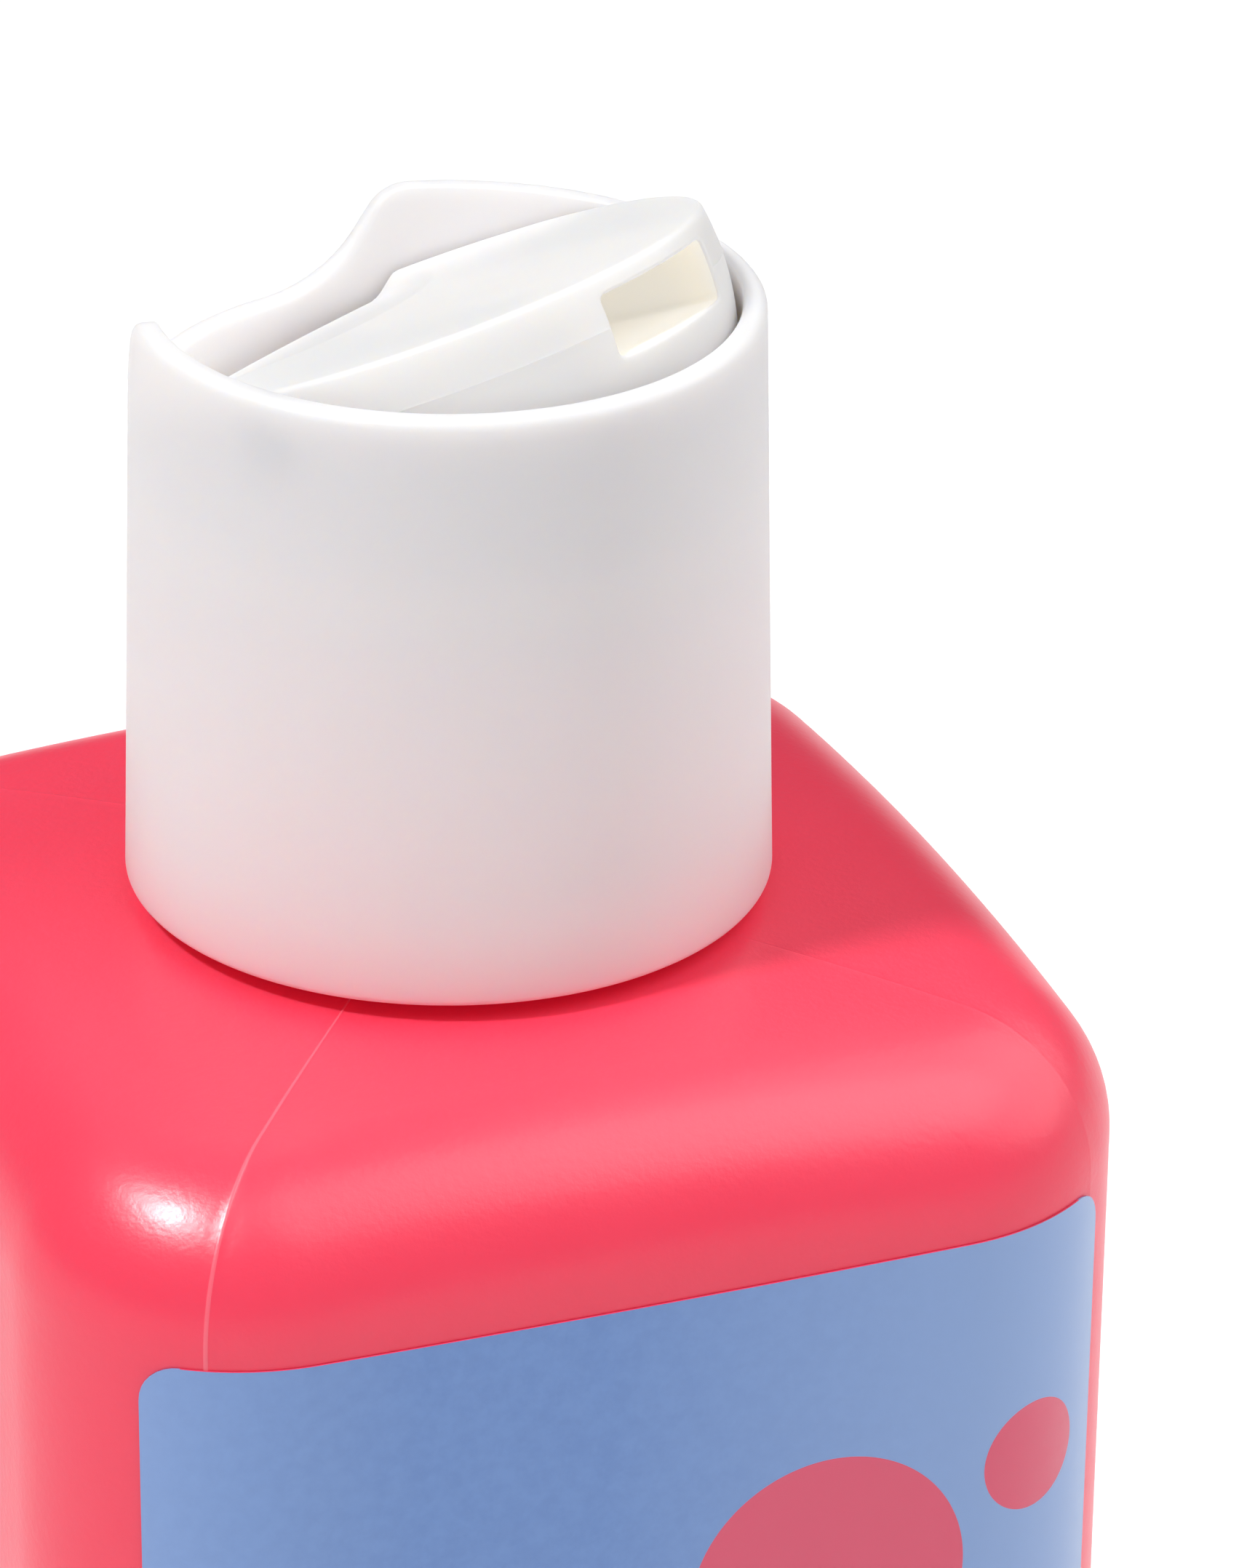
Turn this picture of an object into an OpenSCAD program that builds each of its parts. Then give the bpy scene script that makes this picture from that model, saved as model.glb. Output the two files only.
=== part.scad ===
// Shower gel bottle: a square blow-moulded bottle with a press-disc screw cap, shown open.
// Millimetres. The origin is the middle of the base, on the surface that the bottle stands on.
// +Z is up, and the label faces -Y.

/* [Bottle body] */
// Width and depth across the flat faces
body_w = 49; // [44:0.5:60]
// Height of the shoulder's crown
body_h = 128; // [90:1:170]
// Radius of the four upright corners
corner_r = 10.2; // [9:0.2:14]
// How far the middle of each face swells outward
face_swell = 0.15; // [0:0.05:0.6]
// Radius of the rounded edge between the shoulder and the faces
shoulder_r = 6.8; // [4:0.2:8]
// Radius of the ball that the shoulder's dome follows
dome_r = 217; // [150:1:400]
// Radius of the rounded edge round the base
base_r = 4; // [2.5:0.5:5]
// Width of the flat ring that the bottle stands on
foot_w = 2.4; // [1:0.2:3]
// Depth of the push-up inside that ring
push_up = 2.2; // [1:0.1:4]
// Thickness of the blown wall
wall = 1; // [0.7:0.05:1.6]

/* [Neck] */
// Radius of the neck under its thread
neck_r = 10.85; // [10:0.05:12]
// Radius of the neck's bore
bore_r = 8.9; // [7:0.1:9.2]
// Height of the neck's lip over the shoulder's crown
neck_h = 16.5; // [14:0.25:20]
// Radius of the rounding on the lip and at the neck's root
neck_round = 0.4; // [0.2:0.05:0.6]

/* [Label] */
// Height of the label's lower edge over the base
label_low = 11; // [8:0.5:20]
// Distance from the shoulder's crown down to the label's top edge
label_drop = 8.7; // [8.4:0.1:20]
// Thickness of the film with its glue
label_t = 0.1; // [0.05:0.01:0.2]
// How far round each front corner the film wraps, in degrees
label_wrap = 46; // [10:1:70]
// Radius of the label's corners
label_round = 1.8; // [0.5:0.1:4]

/* [Cap] */
// Gap between the cap's foot and the shoulder's crown
cap_gap = 0.35; // [0.3:0.05:1.5]
// Radial room for the two threads between the neck and the skirt
thread_room = 1.45; // [1.2:0.05:1.8]
// Thickness of the skirt at the cap's foot
skirt_wall = 1.7; // [1.3:0.05:2.2]
// How much the cap narrows from foot to rim, on the radius
cap_draft = 0.64; // [0.3:0.02:0.9]
// Thickness of the wall round the disc's well
rim_wall = 1.03; // [1:0.01:1.4]
// Rounding on the outside of the rim
rim_round = 0.45; // [0.3:0.05:0.8]
// Rounding on the inside of the rim
rim_inner_round = 0.15; // [0.1:0.05:0.4]
// Rounding on the cap's foot
foot_round = 0.3; // [0.1:0.05:0.6]
// Thickness of the deck between the skirt and the well
deck_t = 1.6; // [1:0.1:2.2]
// Thickness of the seal between the lip and the deck
seal_t = 1; // [0.6:0.1:1.6]
// Radius of the hole in the seal
seal_hole_r = 4; // [3:0.25:6]

/* [Finger scoop] */
// Depth of the scoop in the rim
scoop_d = 4.4; // [3.6:0.1:4.6]
// Half length of the scoop, measured round the rim
scoop_half = 10.9; // [9.5:0.1:12]
// Radius at the bottom of the scoop's sides
scoop_low_r = 5; // [2:0.1:5.5]
// Radius where the scoop's sides meet the rim
scoop_top_r = 2.1; // [0.6:0.1:2.2]
// Slope of the scoop's sides between the two radii, in degrees
scoop_slope = 57; // [50:1:70]

/* [Disc] */
// Direction that the outlet faces, in degrees from +X
front_turn = -53.5; // [-180:0.5:180]
// How far the disc is tipped open, in degrees
open_tilt = 24; // [18:0.5:25]
// Gap between the disc's edge and its well
disc_gap = 0.15; // [0.15:0.01:0.35]
// Depth of the shut disc's face under the rim
disc_recess = 0.15; // [0:0.05:0.5]
// Depth of the pivot under the disc's face
pivot_drop = 2.2; // [1.9:0.05:2.6]
// Height of the pivot over the deck
pivot_h = 5.2; // [5:0.05:6]
// Radius of the two pivot pins
pin_r = 1.1; // [0.8:0.05:1.3]
// Clearance of the pins and of the barrel in their seats
pin_clear = 0.05; // [0.03:0.01:0.1]
// How far the pins reach into the cap's wall
pin_reach = 0.6; // [0.4:0.05:0.7]
// Thickness of the disc's face
face_t = 1.1; // [0.8:0.05:1.3]
// Thickness of the disc's side wall
side_t = 1; // [0.7:0.05:1.3]
// Depth of the side wall under the pivot
side_low = 4; // [3.4:0.1:4.1]
// Rounding on the edge of the disc's face
disc_round = 0.3; // [0.15:0.05:0.6]

/* [Finger dish] */
// Radius of the round finger dish, seen from above
dish_r = 8.7; // [7:0.1:9.5]
// Distance behind the pivot where the dish starts
dish_start = 2.05; // [1:0.05:4]
// Depth of the dish's floor at the disc's back edge
dish_d = 1.3; // [0.6:0.05:1.4]
// Slope of the dish's side, in degrees
dish_slope = 45; // [35:1:60]
// Rounding where the dish's side meets the face
dish_round = 0.6; // [0.3:0.05:1]

/* [Outlet] */
// Width of the outlet
outlet_w = 7.6; // [5:0.1:8]
// Height of the outlet
outlet_h = 2.65; // [2:0.05:2.9]
// Depth of the outlet's top under the disc's face
outlet_drop = 0.85; // [0.75:0.05:1.2]
// Thickness of the channel's walls behind the outlet
channel_wall = 0.9; // [0.6:0.05:1.1]
// Radius of the barrel that seals against the seat
barrel_r = 3.8; // [3.6:0.05:3.9]
// Length of the barrel along the pivot
barrel_l = 10; // [8:0.25:12]
// Width of the port where the barrel meets the seat
port_w = 1.2; // [0.8:0.05:1.3]
// Length of that port along the pivot
port_l = 5; // [3:0.25:6]

/* [Hidden] */

$fn = 96;
CORAL = [0.96, 0.36, 0.45];
LABEL_BLUE = [0.50, 0.60, 0.80];
CAP_WHITE = [0.93, 0.92, 0.92];
DISC_WHITE = [0.96, 0.95, 0.95];
FOAM = [0.88, 0.88, 0.86];

// Steps in the outlines: along a face, round a corner, up a rounded edge
FACE_STEPS = 4;
CORNER_STEPS = 8;
EDGE_STEPS = 6;
ARC_STEPS = 8;
// Overlap that joins solids of one piece, and the reach of cuts past a face
JOIN = 0.3;
OVER = 1;
// Height of the dish's rounding over the face, so that the cut has a clean edge
DISH_LIFT = 0.02;

// Heights
lip_z = body_h + neck_h;
foot_z = body_h + cap_gap;
deck_low_z = lip_z + seal_t;
deck_top_z = deck_low_z + deck_t;
pivot_z = deck_top_z + pivot_h;
rim_z = pivot_z + pivot_drop + disc_recess;
cap_h = rim_z - foot_z;

// Radii, from the neck outward and back in to the disc
skirt_bore_r = neck_r + thread_room;
cap_foot_r = skirt_bore_r + skirt_wall;
cap_rim_r = cap_foot_r - cap_draft;
well_r = cap_rim_r - rim_wall;
ball_r = well_r - disc_gap;
pin_tip_r = well_r + pin_reach;
seal_r = skirt_bore_r - JOIN;
half_w = body_w / 2 - face_swell;

// Bottle outline: one quarter is a swelling face and the corner after it. Each entry holds a point
// and the unit direction that faces outward there.
flat_run = half_w - corner_r;
function face_point(k) =
    let (n = [2 * face_swell * k / flat_run, -1])
    [[flat_run * k, -half_w - face_swell * (1 - k * k)], n / norm(n)];
function corner_point(t) =
    [[flat_run + corner_r * cos(t), corner_r * sin(t) - flat_run], [cos(t), sin(t)]];
quarter = concat([for (i = [1:FACE_STEPS - 1]) face_point(2 * i / FACE_STEPS - 1)],
                 [for (j = [0:CORNER_STEPS]) corner_point(90 * j / CORNER_STEPS - 90)]);
function turned(p, a) = [p[0] * cos(a) - p[1] * sin(a), p[0] * sin(a) + p[1] * cos(a)];
outline = [for (q = [0:3]) for (e = quarter) [turned(e[0], 90 * q), turned(e[1], 90 * q)]];
function moved_in(e, d) = e[0] - e[1] * d;
function outline_in(d) = [for (e = outline) moved_in(e, d)];

// Height of a ball of radius r, inside the shoulder's dome and touching it, at distance d out
function ball_z(r, d) = body_h - dome_r + sqrt(pow(dome_r - r, 2) - d * d);

// Rings of the body's surface. depth is 0 for the outside and the wall for the inside.
function dome_ring(share, depth) =
    [for (p = outline_in(shoulder_r))
        let (start = (neck_r + bore_r) / 2, d = start + (norm(p) - start) * share)
        concat(p * d / norm(p), ball_z(depth, d))];
function edge_ring(a, depth) =
    [for (e = outline)
        let (r = shoulder_r - depth)
        concat(moved_in(e, shoulder_r - r * cos(a)),
               ball_z(shoulder_r, norm(moved_in(e, shoulder_r))) + r * sin(a))];
function base_ring(a, depth) =
    let (r = base_r - depth)
    [for (p = outline_in(base_r - r * cos(a))) concat(p, base_r - r * sin(a))];
function foot_ring(share, z) = [for (p = outline_in(base_r + foot_w)) concat(p * share, z)];
slope_end = 90 - asin(half_w / (dome_r - shoulder_r));

function skin(depth) = concat(
    [dome_ring(0, depth), dome_ring(0.5, depth)],
    [for (i = [EDGE_STEPS:-1:0]) edge_ring(slope_end * i / EDGE_STEPS, depth)],
    [for (i = [0:EDGE_STEPS]) base_ring(90 * i / EDGE_STEPS, depth)],
    [foot_ring(1, depth), foot_ring(0.94, push_up * 0.45 + depth),
     foot_ring(0.82, push_up * 0.8 + depth), foot_ring(0.5, push_up + depth)]);

// A closed wall between two skins that start at the same ring round the neck
module shell(outer, inner) {
    n = len(outer[0]);
    rings = len(outer);
    points = concat([for (ring = outer) each ring], [for (ring = inner) each ring],
                    [[0, 0, outer[rings - 1][0][2]], [0, 0, inner[rings - 1][0][2]]]);
    mid_out = 2 * rings * n;
    mid_in = mid_out + 1;
    function at(side, ring, i) = (side * rings + ring) * n + i % n;
    faces = concat(
        [for (k = [0:rings - 2]) for (i = [0:n - 1]) each [
            [at(0, k, i), at(0, k, i + 1), at(0, k + 1, i + 1)],
            [at(0, k, i), at(0, k + 1, i + 1), at(0, k + 1, i)],
            [at(1, k, i), at(1, k + 1, i + 1), at(1, k, i + 1)],
            [at(1, k, i), at(1, k + 1, i), at(1, k + 1, i + 1)]]],
        [for (i = [0:n - 1]) each [
            [at(0, rings - 1, i), at(0, rings - 1, i + 1), mid_out],
            [at(1, rings - 1, i), mid_in, at(1, rings - 1, i + 1)],
            [at(0, 0, i), at(1, 0, i), at(1, 0, i + 1)],
            [at(0, 0, i), at(1, 0, i + 1), at(0, 0, i + 1)]]]);
    polyhedron(points, faces);
}

// Points of an arc round [x, y]
function arc(x, y, r, from, to) =
    [for (i = [0:ARC_STEPS]) let (a = from + (to - from) * i / ARC_STEPS) [x + r * cos(a), y + r * sin(a)]];

module neck() {
    root_z = ball_z(wall, neck_r) - JOIN;
    rotate_extrude() polygon(concat(
        [[bore_r, root_z], [neck_r, root_z]],
        arc(neck_r - neck_round, lip_z - neck_round, neck_round, 0, 90),
        arc(bore_r + neck_round, lip_z - neck_round, neck_round, 90, 180)));
}

module bottle() {
    color(CORAL) union() {
        shell(skin(0), skin(wall));
        neck();
    }
}

// The label: a film on the bottle's own outline, kept where its rounded rectangle covers the front
module label_window() {
    half = half_w - corner_r + corner_r * sin(label_wrap);
    top = body_h - label_drop;
    union() {
        translate([-half, label_low + label_round]) square([2 * half, top - label_low - 2 * label_round]);
        translate([label_round - half, label_low]) square([2 * (half - label_round), top - label_low]);
        for (x = [label_round - half, half - label_round])
            for (z = [label_low + label_round, top - label_round])
                translate([x, z]) circle(r = label_round);
    }
}

module label() {
    color(LABEL_BLUE) intersection() {
        translate([0, 0, label_low - OVER]) linear_extrude(body_h) difference() {
            polygon(outline_in(-label_t));
            polygon(outline_in(0));
        }
        rotate([90, 0, 0]) linear_extrude(body_w) label_window();
    }
}

module neck_seal() {
    color(FOAM) translate([0, 0, lip_z]) difference() {
        cylinder(r = seal_r, h = seal_t);
        translate([0, 0, -OVER]) cylinder(r = seal_hole_r, h = seal_t + 2 * OVER);
    }
}

// Places what is drawn with the outlet along +X and the pivot at the origin into the cap
module at_pivot(tilt = 0) {
    translate([0, 0, pivot_z]) rotate([0, 0, front_turn]) rotate([0, -tilt, 0]) children();
}

// A rod along the pivot
module pivot_rod(r, l) {
    rotate([90, 0, 0]) cylinder(r = r, h = l, center = true);
}

// Half of the rim's line over the scoop: the distance round the wall and the height over the rim
scoop_rise = scoop_d - (scoop_low_r + scoop_top_r) * (1 - cos(scoop_slope));
scoop_run = scoop_rise / tan(scoop_slope) + (scoop_low_r + scoop_top_r) * sin(scoop_slope);
scoop_floor = scoop_half - scoop_run;
scoop_side = concat(
    [for (i = [1:FACE_STEPS - 1]) [scoop_floor * i / FACE_STEPS, -scoop_d]],
    arc(scoop_floor, scoop_low_r - scoop_d, scoop_low_r, -90, scoop_slope - 90),
    arc(scoop_half, -scoop_top_r, scoop_top_r, 90 + scoop_slope, 90));
scoop_line = concat(
    [for (i = [len(scoop_side) - 1:-1:0]) [-scoop_side[i][0], scoop_side[i][1]]], scoop_side);

// The scoop's cut. Every edge of it that crosses the wall points at the cap's axis.
module scoop() {
    wall_mid_r = (well_r + cap_rim_r) / 2;
    ends = len(scoop_line) - 1;
    points = [for (p = scoop_line) let (a = 180 + p[0] / wall_mid_r * 180 / PI)
        for (r = [well_r - OVER, cap_foot_r + OVER]) for (z = [p[1], OVER]) [r * cos(a), r * sin(a), z]];
    // Corners of each section, in turn: inside low, outside low, outside high, inside high
    corner = [0, 2, 3, 1];
    sides = [for (i = [0:ends - 1]) for (k = [0:3])
        let (a = 4 * i + corner[k], b = 4 * i + corner[(k + 1) % 4])
        each [[a, b, b + 4], [a, b + 4, a + 4]]];
    translate([0, 0, pivot_drop + disc_recess]) polyhedron(points, concat(
        sides, [[for (k = [3:-1:0]) corner[k]], [for (c = corner) 4 * ends + c]]));
}

module cap_blank() {
    rotate_extrude() translate([0, foot_z]) polygon(concat(
        [[skirt_bore_r, 0]],
        arc(cap_foot_r - foot_round, foot_round, foot_round, -90, 0),
        arc(cap_rim_r - rim_round, cap_h - rim_round, rim_round, 0, 90),
        arc(well_r + rim_inner_round, cap_h - rim_inner_round, rim_inner_round, 90, 180),
        [[well_r, deck_top_z - foot_z], [0, deck_top_z - foot_z],
         [0, deck_low_z - foot_z], [skirt_bore_r, deck_low_z - foot_z]]));
}

// The block on the deck that the barrel turns in
seat_l = barrel_l - 2 * side_t;
seat_top = -(outlet_drop + outlet_h + channel_wall - pivot_drop + JOIN);
seat_half = barrel_r + side_t;

module cap_shell() {
    color(CAP_WHITE) difference() {
        union() {
            cap_blank();
            at_pivot() translate([-seat_half, -seat_l / 2, -pivot_h - JOIN])
                cube([2 * seat_half, seat_l, pivot_h + JOIN + seat_top]);
        }
        at_pivot() {
            pivot_rod(barrel_r + pin_clear, barrel_l);
            pivot_rod(pin_r + pin_clear, 2 * (pin_tip_r + 2 * pin_clear));
            translate([-port_w / 2, -port_l / 2, -pivot_h - deck_t - OVER])
                cube([port_w, port_l, pivot_h + deck_t]);
            scoop();
        }
    }
}

// The disc, drawn shut about the pivot. Its side is part of a ball, so it clears the well at any tilt.
function ball_reach(z) = sqrt(ball_r * ball_r - z * z);

module disc_blank() {
    edge_z = pivot_drop - disc_round;
    intersection() {
        sphere(r = ball_r);
        rotate_extrude() polygon(concat(
            [[0, -side_low], [ball_r + OVER, -side_low], [ball_r + OVER, edge_z]],
            arc(ball_reach(edge_z) - disc_round, edge_z, disc_round, 0, 90),
            [[0, pivot_drop]]));
    }
}

module disc_hollow() {
    difference() {
        translate([0, 0, -side_low - OVER])
            cylinder(r = ball_reach(side_low) - side_t, h = side_low + OVER + pivot_drop - face_t);
        channel_walls();
        over_dish_floor(face_t);
    }
}

// What hangs under the face: the channel's walls, the barrel and a rib along the back
module channel_walls() {
    low = pivot_drop - outlet_drop - outlet_h - channel_wall;
    translate([0, -outlet_w / 2 - channel_wall, low])
        cube([2 * ball_r, outlet_w + 2 * channel_wall, pivot_drop - low]);
    pivot_rod(barrel_r, barrel_l - 2 * side_t - 4 * pin_clear);
    translate([-2 * ball_r, -side_t / 2, 0]) cube([2 * ball_r, side_t, pivot_drop]);
}

// Everything behind the dish's start that lies over its sloping floor, or over a plane that far below
module over_dish_floor(below = 0) {
    reach = dish_start + 2 * dish_r;
    fall = dish_d * (reach - dish_start) / (ball_r - dish_start);
    rotate([90, 0, 0]) linear_extrude(3 * ball_r, center = true) polygon([
        [-dish_start, pivot_drop - below], [-reach, pivot_drop - below - fall],
        [-reach, pivot_drop + OVER], [-dish_start, pivot_drop + OVER]]);
}

// The finger dish: round from above, with a sloping side that rolls over into the face
module dish() {
    top = pivot_drop - dish_round + DISH_LIFT;
    brink_r = dish_r + dish_round * tan(dish_slope / 2);
    deep = 2 * dish_d;
    low_r = brink_r - dish_round * sin(dish_slope)
            - (deep + dish_round * cos(dish_slope)) / tan(dish_slope);
    intersection() {
        over_dish_floor();
        translate([-dish_start - dish_r, 0, 0]) rotate_extrude() polygon(concat(
            [[0, top - deep], [low_r, top - deep]],
            arc(brink_r, top, dish_round, 90 + dish_slope, 90),
            [[brink_r, pivot_drop + OVER], [0, pivot_drop + OVER]]));
    }
}

module disc() {
    pin_l = pin_tip_r - ball_r + side_t;
    color(DISC_WHITE) at_pivot(open_tilt) difference() {
        union() {
            difference() {
                disc_blank();
                disc_hollow();
            }
            for (side = [-1, 1])
                translate([0, side * (pin_tip_r - pin_l / 2), 0]) pivot_rod(pin_r, pin_l);
        }
        // The outlet and the channel behind it, down to the port
        translate([-port_w, -outlet_w / 2, pivot_drop - outlet_drop - outlet_h])
            cube([ball_r + OVER, outlet_w, outlet_h]);
        rotate([0, open_tilt, 0]) translate([-port_w / 2, -port_l / 2, -barrel_r - OVER])
            cube([port_w, port_l, barrel_r + OVER]);
        dish();
        // The underside is cut level where it comes down on the deck when open
        rotate([0, open_tilt, 0]) translate([-2 * ball_r, -ball_r, -pivot_h - 2 * ball_r + disc_gap])
            cube([4 * ball_r, 2 * ball_r, 2 * ball_r]);
    }
}

bottle();
label();
neck_seal();
cap_shell();
disc();
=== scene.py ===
import math

import bmesh
import bpy
import numpy as np
from mathutils import Matrix, Vector


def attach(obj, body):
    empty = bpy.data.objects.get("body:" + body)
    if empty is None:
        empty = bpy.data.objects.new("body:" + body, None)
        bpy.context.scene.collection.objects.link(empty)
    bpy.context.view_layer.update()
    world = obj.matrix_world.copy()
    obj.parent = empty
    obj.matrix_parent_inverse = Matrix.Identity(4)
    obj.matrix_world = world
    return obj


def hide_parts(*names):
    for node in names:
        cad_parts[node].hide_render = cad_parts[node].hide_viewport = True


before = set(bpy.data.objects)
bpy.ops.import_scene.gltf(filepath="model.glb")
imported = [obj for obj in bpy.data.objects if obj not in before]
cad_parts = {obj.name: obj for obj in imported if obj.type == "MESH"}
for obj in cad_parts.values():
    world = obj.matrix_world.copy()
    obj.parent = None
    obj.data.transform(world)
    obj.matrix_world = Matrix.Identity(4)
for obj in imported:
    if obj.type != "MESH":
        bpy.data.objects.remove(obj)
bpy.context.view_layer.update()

# Bottle. One blow-moulded piece of opaque coral polyethylene: a square body with rounded corners,
# a low domed shoulder and a neck for a 24 mm screw cap. The mould's halves leave fine raised lines.
MM = 0.001
HALF_W, FACE_SWELL, CORNER_R = 24.35, 0.15, 10.2
CROWN_Z, EDGE_R, DOME_R = 128.0, 6.8, 217.0
BASE_R, FOOT_W, PUSH_UP, WALL = 4.0, 2.4, 2.2, 1.0
NECK_R, BORE_R, LIP_Z, NECK_ROUND = 10.85, 8.9, 144.5, 0.4
NECK_FILLET = 0.35
SEAMS = (-129.0, -45.7, 134.3)
SEAM_HEIGHTS = (0.035, 0.008, 0.01)
SEAM_HALF_DEG = 0.2


def body_outline():
    """Points and outward directions round the body, closely spaced, in millimetres."""
    run = HALF_W - CORNER_R
    side = []
    for k in np.linspace(-1, 1, 60, endpoint=False):
        n = np.array([2 * FACE_SWELL * k / run, -1.0])
        side.append(([run * k, -HALF_W - FACE_SWELL * (1 - k * k)], n / np.linalg.norm(n)))
    for t in np.radians(np.linspace(-90, 0, 90, endpoint=False)):
        n = np.array([math.cos(t), math.sin(t)])
        side.append(([run + CORNER_R * n[0], CORNER_R * n[1] - run], n))
    points, normals = [], []
    for q in range(4):
        c, s = (1, 0, -1, 0)[q], (0, 1, 0, -1)[q]
        turn = np.array([[c, -s], [s, c]])
        for p, n in side:
            points.append(turn @ np.array(p))
            normals.append(turn @ n)
    return np.array(points), np.array(normals)


def column_angles():
    """Directions of the mesh's columns: close together at the corners and at the mould lines."""
    angles = set()
    for q in range(4):
        angles.update(np.round(90 * q + np.arange(-30, 30, 3.0), 3))
        angles.update(np.round(90 * q + np.arange(30, 60, 1.0), 3))
    angles = {round(a % 360, 3) for a in angles}
    for seam in SEAMS:
        near = [a for a in angles if abs((a - seam + 180) % 360 - 180) < 0.75]
        angles.difference_update(near)
        for step in (-1.6, -1.0, -0.45, 0.0, 0.45, 1.0, 1.6):
            angles.add(round((seam + step * SEAM_HALF_DEG) % 360, 3))
    return np.array(sorted(angles))


OUTLINE, OUTWARD = body_outline()
COLUMNS = column_angles()


def at_columns(xy, z):
    """One ring of the mesh, from closely spaced points of the same ring."""
    az = np.degrees(np.arctan2(xy[:, 1], xy[:, 0])) % 360
    r = np.interp(COLUMNS, az, np.hypot(xy[:, 0], xy[:, 1]), period=360)
    h = np.interp(COLUMNS, az, np.broadcast_to(z, az.shape), period=360)
    c = np.radians(COLUMNS)
    return np.column_stack([r * np.cos(c), r * np.sin(c), h])


def inset(d):
    return OUTLINE - OUTWARD * d


def dome_z(r, d):
    """Height of a ball of radius r inside the shoulder's dome and touching it, at distance d."""
    return CROWN_Z - DOME_R + np.sqrt((DOME_R - r) ** 2 - d * d)


def circle_ring(r, z):
    return at_columns(OUTLINE / np.linalg.norm(OUTLINE, axis=1)[:, None] * r, z)


def body_rings(depth):
    """Rings from the base's middle up to the root of the neck. depth 0 is the outside."""
    rings = []
    foot = inset(BASE_R + FOOT_W)
    profile_share, profile_z = (0, 0.5, 0.82, 0.94, 1), (1, 1, 0.8, 0.45, 0)
    for share in (0.1, 0.3, 0.5, 0.62, 0.72, 0.78, 0.82, 0.86, 0.9, 0.94, 0.97, 1):
        rise = PUSH_UP * np.interp(share, profile_share, profile_z)
        rings.append(at_columns(foot * share, rise + depth))
    r = BASE_R - depth
    for a in np.radians(np.linspace(90, 0, 12)):
        rings.append(at_columns(inset(BASE_R - r * math.cos(a)), BASE_R - r * math.sin(a)))
    reach = np.linalg.norm(inset(EDGE_R), axis=1)
    r, low = EDGE_R - depth, dome_z(EDGE_R, reach)
    for z in np.linspace(BASE_R, CROWN_Z - 8.6, 14)[1:]:
        rings.append(at_columns(inset(depth), z))
    slope_end = 90 - math.degrees(math.asin(HALF_W / (DOME_R - EDGE_R)))
    for a in np.radians(np.linspace(0, slope_end, 20)):
        rings.append(at_columns(inset(EDGE_R - r * math.cos(a)), low + r * math.sin(a)))
    start = NECK_R + NECK_FILLET if depth == 0 else BORE_R
    unit = inset(EDGE_R) / reach[:, None]
    for share in np.linspace(1, 0, 9)[1:]:
        d = start + (reach - start) * share
        rings.append(at_columns(unit * d[:, None], dome_z(depth, d)))
    return rings


def arc(x, z, r, start, end, steps=6):
    """(radius, height) points on an arc, angles in degrees."""
    turn = np.radians(np.linspace(start, end, steps + 1))
    return [(x + r * math.cos(a), z + r * math.sin(a)) for a in turn]


def skin_between(rings, wrap=True):
    """Quads between rings that all have the same number of points."""
    n = len(rings[0])
    last = n if wrap else n - 1
    return [(k * n + i, k * n + (i + 1) % n, (k + 1) * n + (i + 1) % n, (k + 1) * n + i)
            for k in range(len(rings) - 1) for i in range(last)]


def make_mesh(name, points, faces, sharp_deg=50):
    """A smooth-shaded object from points in millimetres, with its normals facing outward."""
    mesh = bpy.data.meshes.new(name)
    mesh.from_pydata([tuple(float(c) * MM for c in p) for p in points], [], faces)
    bm = bmesh.new()
    bm.from_mesh(mesh)
    bmesh.ops.recalc_face_normals(bm, faces=bm.faces)
    bm.to_mesh(mesh)
    bm.free()
    mesh.shade_smooth()
    mesh.set_sharp_from_angle(angle=math.radians(sharp_deg))
    piece = bpy.data.objects.new(name, mesh)
    bpy.context.scene.collection.objects.link(piece)
    return piece


def raise_seams(rings):
    """Lifts the columns at the mould lines along the surface, outside only."""
    grid = np.array(rings)
    across = np.roll(grid, -1, axis=1) - np.roll(grid, 1, axis=1)
    along = np.gradient(grid, axis=0)
    normal = np.cross(across, along)
    normal /= np.linalg.norm(normal, axis=2)[:, :, None] + 1e-12
    for seam, seam_h in zip(SEAMS, SEAM_HEIGHTS):
        off = np.abs((COLUMNS - seam + 180) % 360 - 180) / SEAM_HALF_DEG
        lift = seam_h * np.clip(1.35 - off, 0, 1)
        grid += normal * lift[None, :, None]
    return list(grid)


def noise_node(nodes, links, coords, scale, detail=2.0, roughness=0.5):
    noise = nodes.new("ShaderNodeTexNoise")
    noise.inputs["Scale"].default_value = scale
    noise.inputs["Detail"].default_value = detail
    noise.inputs["Roughness"].default_value = roughness
    links.new(coords, noise.inputs["Vector"])
    return noise.outputs["Fac"]


def ramp_node(nodes, links, value, stops):
    """A colour ramp from (position, colour) stops; a single number gives a grey."""
    ramp = nodes.new("ShaderNodeValToRGB")
    elements = ramp.color_ramp.elements
    while len(elements) < len(stops):
        elements.new(0.5)
    for element, (position, colour) in zip(elements, stops):
        element.position = position
        shade = (colour,) * 3 if isinstance(colour, (int, float)) else colour
        element.color = (*shade, 1)
    links.new(value, ramp.inputs["Fac"])
    return ramp.outputs["Color"]


def bump_node(nodes, links, height, depth_mm):
    bump = nodes.new("ShaderNodeBump")
    bump.inputs["Strength"].default_value = 1.0
    bump.inputs["Distance"].default_value = depth_mm * MM
    links.new(height, bump.inputs["Height"])
    return bump.outputs["Normal"]


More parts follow.
